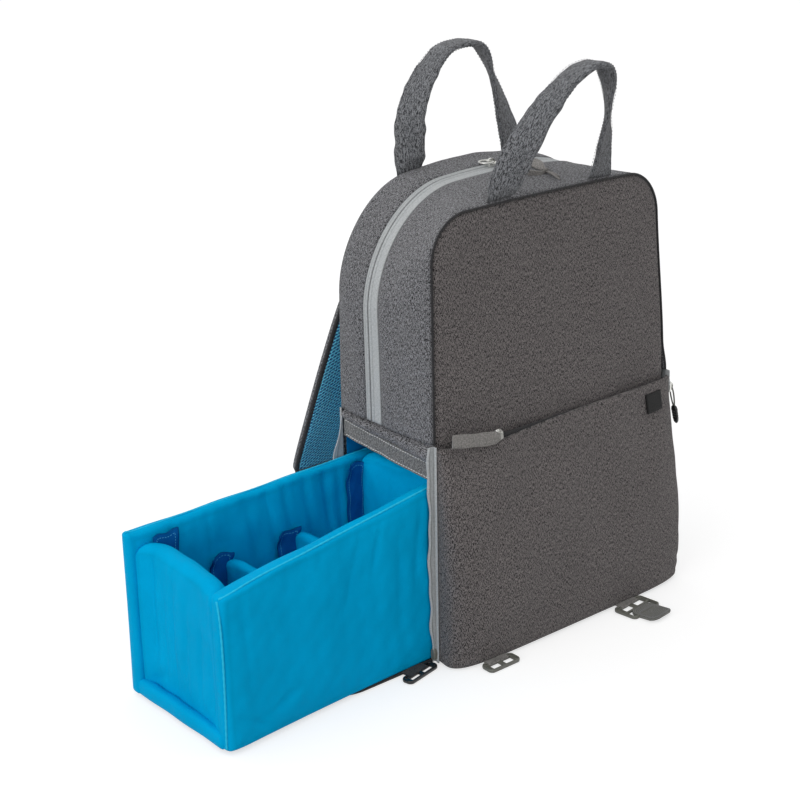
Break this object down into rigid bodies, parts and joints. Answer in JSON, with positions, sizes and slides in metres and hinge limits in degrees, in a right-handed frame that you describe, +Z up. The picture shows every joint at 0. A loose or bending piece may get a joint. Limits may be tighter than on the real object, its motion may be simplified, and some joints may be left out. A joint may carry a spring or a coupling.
{
  "type": "camera backpack",
  "caption": "Padded camera backpack with carry handles, shoulder straps, a zipped front pocket and a divided padded insert that slides out of its side opening.",
  "frame": {"origin": "on the ground under the middle of the bag's body", "axes": "+X to the right of someone who looks at the front, +Y towards the back panel and its straps, +Z up"},
  "size_m": [0.5337, 0.2881, 0.515],
  "materials": {
    "heather_canvas": "matt speckled grey canvas",
    "dark_trim": "matt black trim",
    "zip_grey": "woven pale grey zip tape",
    "band_grey": "ribbed grey webbing",
    "blue_nylon": "smooth bright blue nylon",
    "blue_mesh": "blue spacer mesh",
    "hook_navy": "navy hook-and-loop tape",
    "nickel": "bright nickel plate",
    "grey_plastic": "satin dark grey moulding",
    "black_plastic": "glossy black moulding"
  },
  "bodies": {
    "bag": {"back_board": "dark_trim", "back_pad_left": "blue_mesh", "back_pad_right": "blue_mesh", "back_panel": "heather_canvas", "base_panel": "heather_canvas", "corner_buckle_webbing": "band_grey", "front_gusset": "heather_canvas", "front_panel": "heather_canvas", "front_piping": "dark_trim", "inner_shelf": "dark_trim", "label_tag": "black_plastic", "left_buckle_webbing": "band_grey", "left_door_flap": "heather_canvas", "left_rain_flap": "heather_canvas", "left_top_band": "band_grey", "left_zip_tape_front": "zip_grey", "left_zip_tape_rear": "zip_grey", "main_zip_tape_front": "zip_grey", "main_zip_tape_rear": "zip_grey", "pocket_panel": "heather_canvas", "pocket_zip_tape": "dark_trim", "rear_gusset": "heather_canvas", "right_buckle_webbing": "band_grey", "right_zip_surround": "zip_grey", "strap_webbing_left": "band_grey", "strap_webbing_right": "band_grey"},
    "insert": {"insert_floor": "blue_nylon", "insert_front_wall": "blue_nylon", "insert_rear_wall": "blue_nylon", "insert_outer_end": "blue_nylon", "insert_inner_end": "blue_nylon", "outer_end_tab": "hook_navy", "inner_end_tab": "hook_navy"},
    "divider_outer": {"divider_outer": "blue_nylon", "divider_outer_tab": "hook_navy"},
    "divider_inner": {"divider_inner": "blue_nylon", "divider_inner_tab": "hook_navy"},
    "shoulder_strap_left": {"shoulder_strap_left": "heather_canvas", "strap_adjuster_left": "black_plastic"},
    "shoulder_strap_right": {"shoulder_strap_right": "heather_canvas", "strap_adjuster_right": "black_plastic"},
    "right_door": {"right_door": "heather_canvas"},
    "main_slider_left": {"main_slider_left": "nickel"},
    "main_slider_right": {"main_slider_right": "nickel"},
    "main_pull_ring": {"main_pull_ring": "nickel"},
    "main_pull_fabric": {"main_pull_fabric": "band_grey"},
    "pocket_slider": {"pocket_slider": "nickel"},
    "pocket_pull_tab": {"pocket_pull_tab": "band_grey"},
    "left_door_slider": {"left_door_slider": "zip_grey"},
    "right_door_slider": {"right_door_slider": "nickel"},
    "right_door_pull": {"right_door_pull": "black_plastic"},
    "front_handle": {"front_handle": "heather_canvas"},
    "rear_handle": {"rear_handle": "heather_canvas"},
    "left_buckle": {"left_buckle": "grey_plastic"},
    "right_buckle": {"right_buckle": "grey_plastic"},
    "corner_buckle": {"corner_buckle": "black_plastic"}
  },
  "joints": [
    {"name": "insert_slide", "type": "slide", "parent": "bag", "child": "insert", "axis": [1, 0, 0], "range_m": [0, 0.226]},
    {"name": "divider_outer_slide", "type": "slide", "parent": "insert", "child": "divider_outer", "axis": [1, 0, 0], "range_m": [-0.012, 0.012]},
    {"name": "divider_inner_slide", "type": "slide", "parent": "insert", "child": "divider_inner", "axis": [1, 0, 0], "range_m": [-0.012, 0.012]},
    {"name": "right_door_hinge", "type": "hinge", "parent": "bag", "child": "right_door", "pos_m": [0.1465, -0.00325, 0.001], "axis": [0, 1, 0], "range_deg": [0, 90]},
    {"name": "main_slider_left_run", "type": "hinge", "parent": "bag", "child": "main_slider_left", "pos_m": [0, 0.0183, -0.26888], "axis": [0, 1, 0], "range_deg": [-4.5, 0]},
    {"name": "main_slider_right_run", "type": "hinge", "parent": "bag", "child": "main_slider_right", "pos_m": [0, 0.0183, -0.26888], "axis": [0, 1, 0], "range_deg": [0, 2.7]},
    {"name": "main_pull_ring_swing", "type": "hinge", "parent": "main_slider_left", "child": "main_pull_ring", "pos_m": [-0.002, 0.0183, 0.41514], "axis": [0, 1, 0], "range_deg": [0, 165]},
    {"name": "main_pull_fabric_swing", "type": "hinge", "parent": "main_slider_right", "child": "main_pull_fabric", "pos_m": [0.024, 0.0183, 0.41472], "axis": [-1, 0, 0], "range_deg": [0, 90]},
    {"name": "pocket_slider_run", "type": "slide", "parent": "bag", "child": "pocket_slider", "axis": [1, 0, 0], "range_m": [0, 0.17]},
    {"name": "pocket_tab_swing", "type": "hinge", "parent": "pocket_slider", "child": "pocket_pull_tab", "pos_m": [-0.085, -0.08644, 0.2043], "axis": [0, -0.9744, 0.225], "range_deg": [-40, 90]},
    {"name": "left_door_slider_run", "type": "slide", "parent": "bag", "child": "left_door_slider", "axis": [0, 0, 1], "range_m": [0, 0.185]},
    {"name": "right_door_slider_run", "type": "slide", "parent": "bag", "child": "right_door_slider", "axis": [0, 0, -1], "range_m": [0, 0.14]},
    {"name": "right_door_pull_swing", "type": "hinge", "parent": "right_door_slider", "child": "right_door_pull", "pos_m": [0.15106, -0.06675, 0.188], "axis": [0, -1, 0], "range_deg": [-12, 100]},
    {"name": "front_handle_swing", "type": "hinge", "parent": "bag", "child": "front_handle", "pos_m": [0, -0.05282, 0.40291], "axis": [1, 0, 0], "range_deg": [-12, 25]},
    {"name": "rear_handle_swing", "type": "hinge", "parent": "bag", "child": "rear_handle", "pos_m": [0, 0.05949, 0.41097], "axis": [1, 0, 0], "range_deg": [-70, 20]},
    {"name": "shoulder_strap_left_swing", "type": "hinge", "parent": "bag", "child": "shoulder_strap_left", "pos_m": [-0.05, 0.0726, 0.386], "axis": [1, 0, 0], "range_deg": [0, 12]},
    {"name": "shoulder_strap_right_swing", "type": "hinge", "parent": "bag", "child": "shoulder_strap_right", "pos_m": [0.05, 0.0726, 0.386], "axis": [1, 0, 0], "range_deg": [0, 12]},
    {"name": "left_buckle_lift", "type": "hinge", "parent": "bag", "child": "left_buckle", "pos_m": [-0.1, -0.10299, 0.00175], "axis": [-1, 0, 0], "range_deg": [0, 35]},
    {"name": "right_buckle_lift", "type": "hinge", "parent": "bag", "child": "right_buckle", "pos_m": [0.064, -0.10332, 0.00175], "axis": [-0.9925, -0.1219, 0], "range_deg": [0, 30]},
    {"name": "corner_buckle_lift", "type": "hinge", "parent": "bag", "child": "corner_buckle", "pos_m": [-0.1685, -0.0688, 0.00175], "axis": [-0.9781, -0.2079, 0], "range_deg": [0, 35]}
  ]
}
